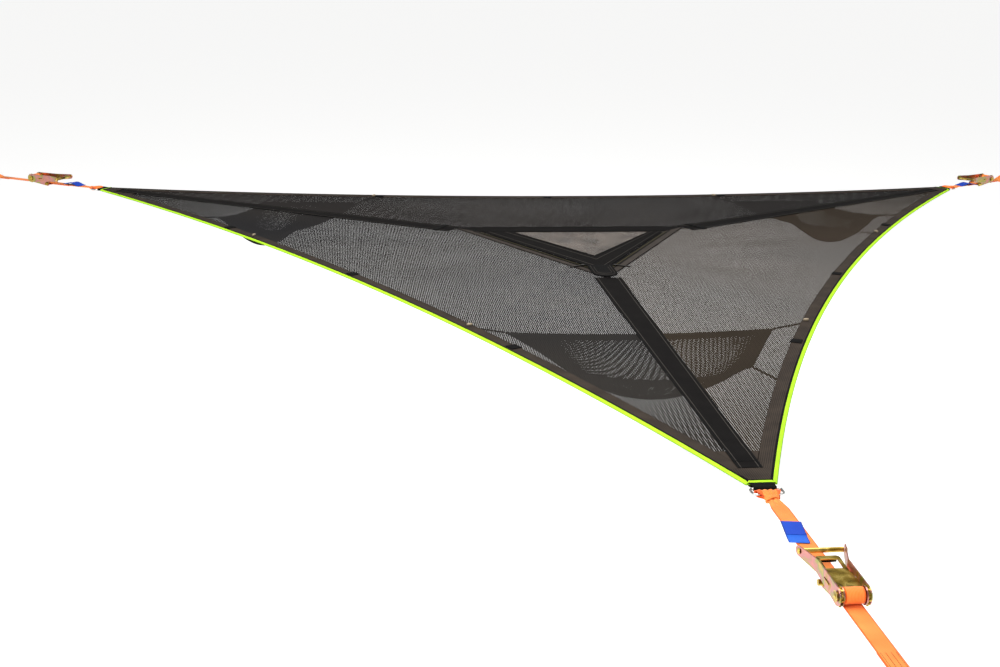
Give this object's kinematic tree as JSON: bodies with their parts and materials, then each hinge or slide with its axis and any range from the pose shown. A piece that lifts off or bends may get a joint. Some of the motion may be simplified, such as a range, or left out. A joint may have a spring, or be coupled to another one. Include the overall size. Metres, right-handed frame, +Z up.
{
  "type": "triangle hammock",
  "caption": "Three-cornered mesh hammock bed with a central entry hatch, storage nets under its corners and a ratchet strap at each corner.",
  "frame": {"origin": "middle of the front corner's sewn eye, through which the anchor holds the strap", "axes": "+X to the right seen from the front corner, +Y from the front corner towards the far edge, +Z up out of the bed"},
  "size_m": [4.9858, 4.6143, 0.2062],
  "materials": {
    "black_band": "matt woven band",
    "black_webbing": "woven webbing",
    "blue_label": "sewn-on printed cloth, left plain",
    "coarse_net": "coarse knotted net",
    "hem_cloth": "matt doubled cloth",
    "iridescent_zinc_plate": "pink-gold passivated zinc on steel",
    "mesh_cloth": "matt see-through mesh cloth",
    "neon_binding": "folded woven binding",
    "orange_webbing": "woven polyester webbing",
    "polished_steel": "polished bar",
    "yellow_zinc_plate": "yellow passivated zinc on steel"
  },
  "bodies": {
    "bed": {"edge_binding": "neon_binding", "edge_hem": "hem_cloth", "fixed_bolt_front": "yellow_zinc_plate", "fixed_bolt_left": "yellow_zinc_plate", "fixed_bolt_right": "yellow_zinc_plate", "hatch_border": "black_band", "hatch_zip_left": "black_webbing", "hatch_zip_right": "black_webbing", "mesh_panel_front_right": "mesh_cloth", "mesh_panel_left_front": "mesh_cloth", "mesh_panel_right_left": "mesh_cloth", "radial_band_front": "black_band", "radial_band_left": "black_band", "radial_band_right": "black_band", "ratchet_frame_front": "iridescent_zinc_plate", "ratchet_frame_left": "iridescent_zinc_plate", "ratchet_frame_right": "iridescent_zinc_plate", "ring_tab_front": "black_webbing", "ring_tab_left": "black_webbing", "ring_tab_right": "black_webbing", "short_strap_front": "orange_webbing", "short_strap_left": "orange_webbing", "short_strap_right": "orange_webbing", "storage_net_front": "coarse_net", "storage_net_left": "coarse_net", "storage_net_right": "coarse_net", "strap_label_front": "blue_label", "strap_label_left": "blue_label", "strap_label_right": "blue_label", "strap_ring_front": "polished_steel", "strap_ring_left": "polished_steel", "strap_ring_right": "polished_steel", "tree_strap_front": "orange_webbing", "tree_strap_left": "orange_webbing", "tree_strap_right": "orange_webbing"},
    "handle_front": {"handle_front": "iridescent_zinc_plate", "grip_bar_front": "yellow_zinc_plate"},
    "spool_front": {"spool_front": "yellow_zinc_plate", "wound_webbing_front": "orange_webbing"},
    "drive_pawl_front": {"drive_pawl_front": "yellow_zinc_plate"},
    "lock_pawl_front": {"lock_pawl_front": "yellow_zinc_plate"},
    "handle_right": {"handle_right": "iridescent_zinc_plate", "grip_bar_right": "yellow_zinc_plate"},
    "spool_right": {"spool_right": "yellow_zinc_plate", "wound_webbing_right": "orange_webbing"},
    "drive_pawl_right": {"drive_pawl_right": "yellow_zinc_plate"},
    "lock_pawl_right": {"lock_pawl_right": "yellow_zinc_plate"},
    "handle_left": {"handle_left": "iridescent_zinc_plate", "grip_bar_left": "yellow_zinc_plate"},
    "spool_left": {"spool_left": "yellow_zinc_plate", "wound_webbing_left": "orange_webbing"},
    "drive_pawl_left": {"drive_pawl_left": "yellow_zinc_plate"},
    "lock_pawl_left": {"lock_pawl_left": "yellow_zinc_plate"},
    "hatch_flap": {"hatch_panel": "mesh_cloth", "hatch_flap_bands": "black_band", "hatch_flap_tab": "black_band"},
    "zip_slider_left": {"zip_slider_left": "polished_steel"},
    "zip_slider_right": {"zip_slider_right": "polished_steel"}
  },
  "joints": [
    {"name": "handle_swing_front", "type": "hinge", "parent": "bed", "child": "handle_front", "pos_m": [0, 0.297, 0.01795], "axis": [1, 0, 0], "range_deg": [0, 170]},
    {"name": "spool_turn_front", "type": "hinge", "parent": "bed", "child": "spool_front", "pos_m": [0, 0.297, 0.01795], "axis": [1, 0, 0], "continuous": true},
    {"name": "drive_pawl_pull_front", "type": "slide", "parent": "handle_front", "child": "drive_pawl_front", "axis": [0, 0.9981, 0.0621], "range_m": [0, 0.008], "stiffness_N_per_m": 300, "springref_m": -0.01},
    {"name": "lock_pawl_lift_front", "type": "slide", "parent": "bed", "child": "lock_pawl_front", "axis": [0, 0.9789, -0.2043], "range_m": [0, 0.005], "stiffness_N_per_m": 300, "springref_m": -0.008},
    {"name": "handle_swing_right", "type": "hinge", "parent": "bed", "child": "handle_right", "pos_m": [2.24579, 4.39465, 0.01795], "axis": [-0.5, 0.866, 0], "range_deg": [0, 170]},
    {"name": "spool_turn_right", "type": "hinge", "parent": "bed", "child": "spool_right", "pos_m": [2.24579, 4.39465, 0.01795], "axis": [-0.5, 0.866, 0], "continuous": true},
    {"name": "drive_pawl_pull_right", "type": "slide", "parent": "handle_right", "child": "drive_pawl_right", "axis": [-0.8644, -0.499, 0.0621], "range_m": [0, 0.008], "stiffness_N_per_m": 300, "springref_m": -0.01},
    {"name": "lock_pawl_lift_right", "type": "slide", "parent": "bed", "child": "lock_pawl_right", "axis": [-0.8478, -0.4895, -0.2043], "range_m": [0, 0.005], "stiffness_N_per_m": 300, "springref_m": -0.008},
    {"name": "handle_swing_left", "type": "hinge", "parent": "bed", "child": "handle_left", "pos_m": [-2.29624, 4.42413, 0.01795], "axis": [-0.5, -0.866, 0], "range_deg": [0, 170]},
    {"name": "spool_turn_left", "type": "hinge", "parent": "bed", "child": "spool_left", "pos_m": [-2.29624, 4.42413, 0.01795], "axis": [-0.5, -0.866, 0], "continuous": true},
    {"name": "drive_pawl_pull_left", "type": "slide", "parent": "handle_left", "child": "drive_pawl_left", "axis": [0.8644, -0.499, 0.0621], "range_m": [0, 0.008], "stiffness_N_per_m": 300, "springref_m": -0.01},
    {"name": "lock_pawl_lift_left", "type": "slide", "parent": "bed", "child": "lock_pawl_left", "axis": [0.8478, -0.4895, -0.2043], "range_m": [0, 0.005], "stiffness_N_per_m": 300, "springref_m": -0.008},
    {"name": "hatch_flap_lift", "type": "hinge", "parent": "bed", "child": "hatch_flap", "pos_m": [0, 3.31714, 0.0027], "axis": [-1, 0, 0], "range_deg": [0, 110]},
    {"name": "zip_run_left", "type": "slide", "parent": "bed", "child": "zip_slider_left", "axis": [-0.5, 0.866, 0], "range_m": [0, 0.6021]},
    {"name": "zip_run_right", "type": "slide", "parent": "bed", "child": "zip_slider_right", "axis": [0.5, 0.866, 0], "range_m": [0, 0.6021]}
  ]
}
